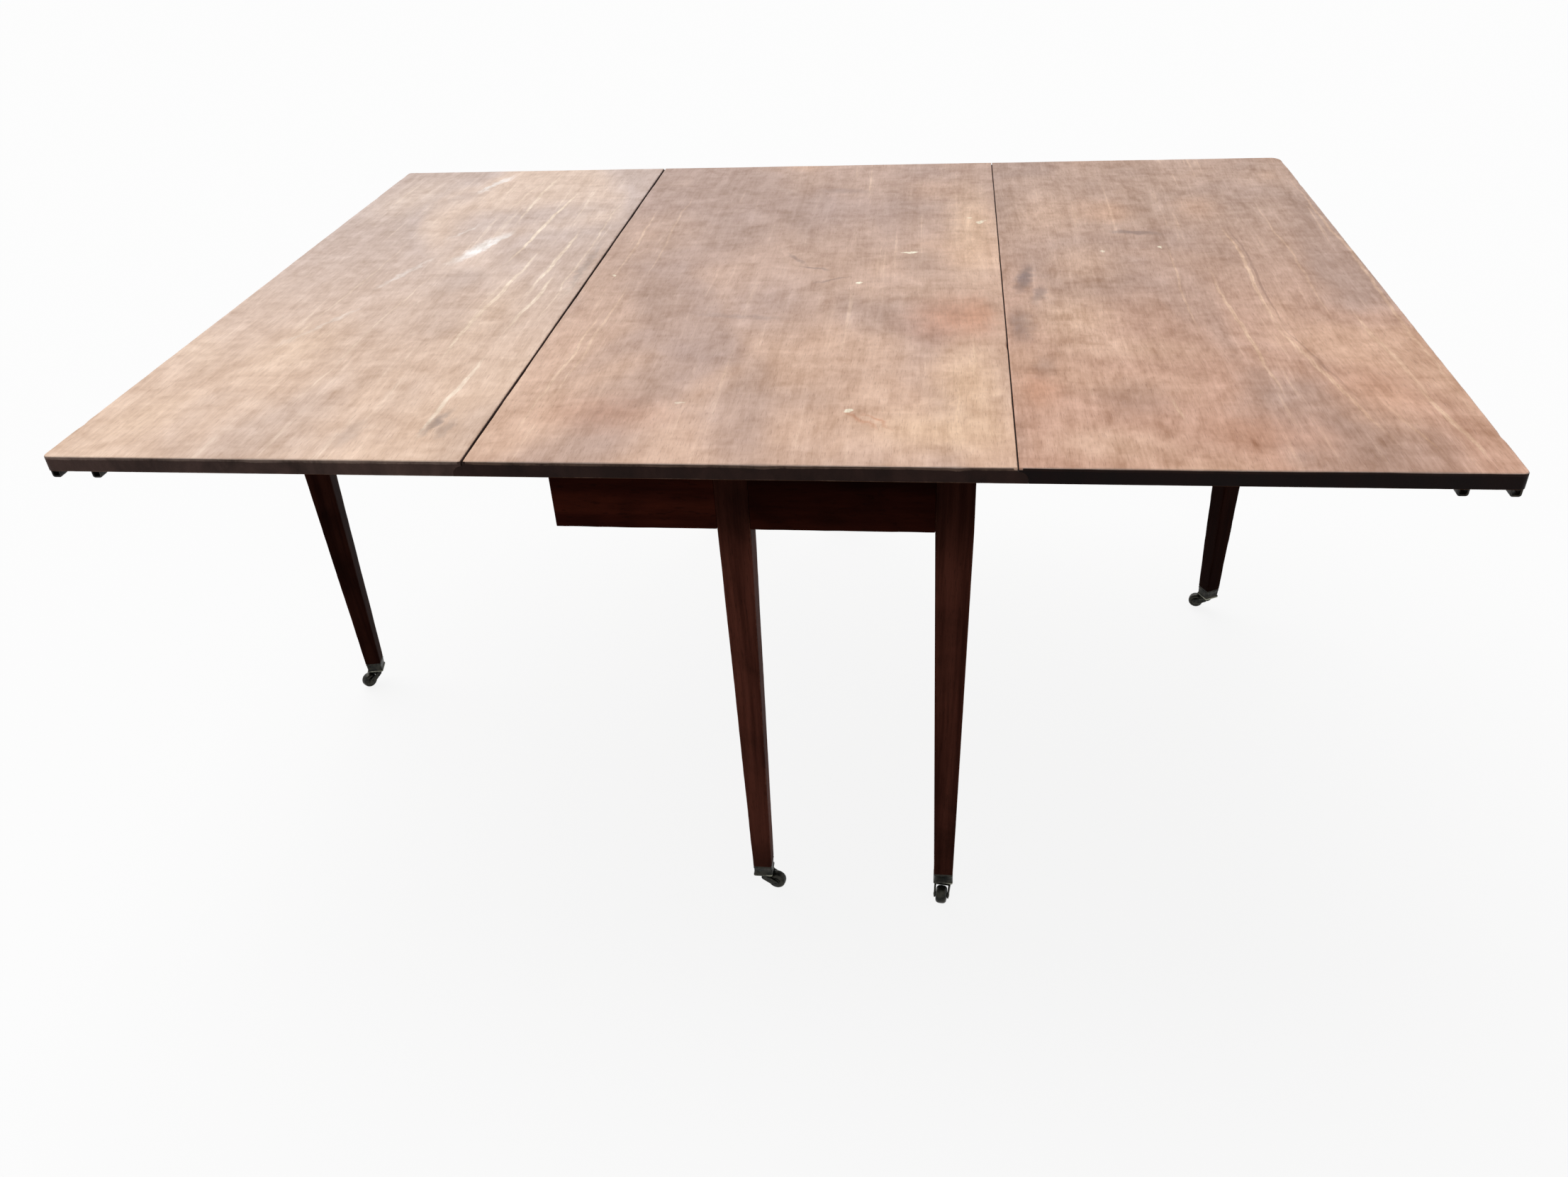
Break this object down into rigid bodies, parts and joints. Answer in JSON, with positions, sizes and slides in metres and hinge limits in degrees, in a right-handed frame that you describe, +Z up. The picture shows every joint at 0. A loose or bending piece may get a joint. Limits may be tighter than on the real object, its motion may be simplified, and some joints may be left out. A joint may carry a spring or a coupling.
{
  "type": "drop-leaf table",
  "caption": "Rectangular drop-leaf table with hinged leaves raised on swing legs, square tapered legs and brass cup castors.",
  "frame": {"origin": "on the floor under the middle of the open top", "axes": "+X across the leaves to the right, +Y along the hinge lines to the back end, +Z up"},
  "size_m": [1.612, 1.168, 0.72],
  "materials": {
    "top_mahogany": "worn, sun-faded polish",
    "frame_mahogany": "dark old polish",
    "secondary_wood": "bare, aged",
    "castor_brass": "tarnished",
    "hinge_iron": "dull, oxidised"
  },
  "bodies": {
    "frame": {"centre_top": "top_mahogany", "front_apron_left": "frame_mahogany", "front_apron_right": "frame_mahogany", "back_apron_right": "frame_mahogany", "back_apron_left": "frame_mahogany", "left_inner_rail": "secondary_wood", "right_inner_rail": "secondary_wood", "left_fixed_rail": "secondary_wood", "right_fixed_rail": "secondary_wood", "front_right_leg": "frame_mahogany", "back_left_leg": "frame_mahogany", "front_centre_leg": "frame_mahogany", "back_centre_leg": "frame_mahogany", "cross_rail": "secondary_wood", "glue_blocks": "secondary_wood", "top_screws": "hinge_iron", "knuckle_pins": "hinge_iron", "left_centre_hinge_plates": "hinge_iron", "right_centre_hinge_plates": "hinge_iron", "hinge_pins": "hinge_iron", "centre_hinge_screws": "hinge_iron", "fixed_leg_castor_cups": "castor_brass", "fixed_leg_castor_pintles": "castor_brass"},
    "left_leaf": {"left_leaf": "top_mahogany", "left_leaf_hinge_flaps": "hinge_iron", "left_leaf_screws": "hinge_iron", "left_clip_keepers": "castor_brass", "left_gate_stop": "secondary_wood"},
    "right_leaf": {"right_leaf": "top_mahogany", "right_leaf_hinge_flaps": "hinge_iron", "right_leaf_screws": "hinge_iron", "right_clip_keepers": "castor_brass", "right_gate_stop": "secondary_wood"},
    "left_gate": {"left_fly_rail": "secondary_wood", "left_gate_leg": "frame_mahogany", "left_gate_castor_cup": "castor_brass", "left_gate_castor_pintle": "castor_brass"},
    "right_gate": {"right_fly_rail": "secondary_wood", "right_gate_leg": "frame_mahogany", "right_gate_castor_cup": "castor_brass", "right_gate_castor_pintle": "castor_brass"},
    "front_right_castor": {"front_right_castor_fork": "castor_brass", "front_right_castor_axle": "castor_brass"},
    "front_right_wheel": {"front_right_castor_wheel": "castor_brass"},
    "front_centre_castor": {"front_centre_castor_fork": "castor_brass", "front_centre_castor_axle": "castor_brass"},
    "front_centre_wheel": {"front_centre_castor_wheel": "castor_brass"},
    "back_left_castor": {"back_left_castor_fork": "castor_brass", "back_left_castor_axle": "castor_brass"},
    "back_left_wheel": {"back_left_castor_wheel": "castor_brass"},
    "back_centre_castor": {"back_centre_castor_fork": "castor_brass", "back_centre_castor_axle": "castor_brass"},
    "back_centre_wheel": {"back_centre_castor_wheel": "castor_brass"},
    "left_gate_castor": {"left_gate_castor_fork": "castor_brass", "left_gate_castor_axle": "castor_brass"},
    "left_gate_wheel": {"left_gate_castor_wheel": "castor_brass"},
    "right_gate_castor": {"right_gate_castor_fork": "castor_brass", "right_gate_castor_axle": "castor_brass"},
    "right_gate_wheel": {"right_gate_castor_wheel": "castor_brass"}
  },
  "joints": [
    {"name": "left_leaf_hinge", "type": "hinge", "parent": "frame", "child": "left_leaf", "pos_m": [-0.302, 0, 0.7045], "axis": [0, 1, 0], "range_deg": [0, 4]},
    {"name": "right_leaf_hinge", "type": "hinge", "parent": "frame", "child": "right_leaf", "pos_m": [0.302, 0, 0.7045], "axis": [0, -1, 0], "range_deg": [0, 4]},
    {"name": "left_gate_swing", "type": "hinge", "parent": "frame", "child": "left_gate", "pos_m": [-0.239, 0.03711, 0.653], "axis": [0, 0, -1], "range_deg": [-78, 2]},
    {"name": "right_gate_swing", "type": "hinge", "parent": "frame", "child": "right_gate", "pos_m": [0.239, -0.03711, 0.653], "axis": [0, 0, -1], "range_deg": [-61.5, 18.5]},
    {"name": "front_right_castor_swivel", "type": "hinge", "parent": "frame", "child": "front_right_castor", "pos_m": [0.24, -0.508, 0.026], "axis": [0, 0, 1], "continuous": true},
    {"name": "front_right_wheel_spin", "type": "hinge", "parent": "front_right_castor", "child": "front_right_wheel", "pos_m": [0.23801, -0.5269, 0.0125], "axis": [0.9945, -0.1045, 0], "continuous": true},
    {"name": "front_centre_castor_swivel", "type": "hinge", "parent": "frame", "child": "front_centre_castor", "pos_m": [-0.014, -0.5105, 0.026], "axis": [0, 0, 1], "continuous": true},
    {"name": "front_centre_wheel_spin", "type": "hinge", "parent": "front_centre_castor", "child": "front_centre_wheel", "pos_m": [0.00465, -0.51413, 0.0125], "axis": [0.1908, 0.9816, 0], "continuous": true},
    {"name": "back_left_castor_swivel", "type": "hinge", "parent": "frame", "child": "back_left_castor", "pos_m": [-0.24, 0.508, 0.026], "axis": [0, 0, 1], "continuous": true},
    {"name": "back_left_wheel_spin", "type": "hinge", "parent": "back_left_castor", "child": "back_left_wheel", "pos_m": [-0.23108, 0.52478, 0.0125], "axis": [-0.8829, 0.4695, 0], "continuous": true},
    {"name": "back_centre_castor_swivel", "type": "hinge", "parent": "frame", "child": "back_centre_castor", "pos_m": [0.014, 0.5105, 0.026], "axis": [0, 0, 1], "continuous": true},
    {"name": "back_centre_wheel_spin", "type": "hinge", "parent": "back_centre_castor", "child": "back_centre_wheel", "pos_m": [-0.00322, 0.50247, 0.0125], "axis": [0.4226, -0.9063, 0], "continuous": true},
    {"name": "left_gate_castor_swivel", "type": "hinge", "parent": "left_gate", "child": "left_gate_castor", "pos_m": [-0.7724, -0.07525, 0.026], "axis": [0, 0, 1], "continuous": true},
    {"name": "left_gate_wheel_spin", "type": "hinge", "parent": "left_gate_castor", "child": "left_gate_wheel", "pos_m": [-0.78247, -0.09136, 0.0125], "axis": [0.848, -0.5299, 0], "continuous": true},
    {"name": "right_gate_castor_swivel", "type": "hinge", "parent": "right_gate", "child": "right_gate_castor", "pos_m": [0.71853, 0.22212, 0.026], "axis": [0, 0, 1], "continuous": true},
    {"name": "right_gate_wheel_spin", "type": "hinge", "parent": "right_gate_castor", "child": "right_gate_wheel", "pos_m": [0.70036, 0.22767, 0.0125], "axis": [-0.2924, -0.9563, 0], "continuous": true}
  ]
}
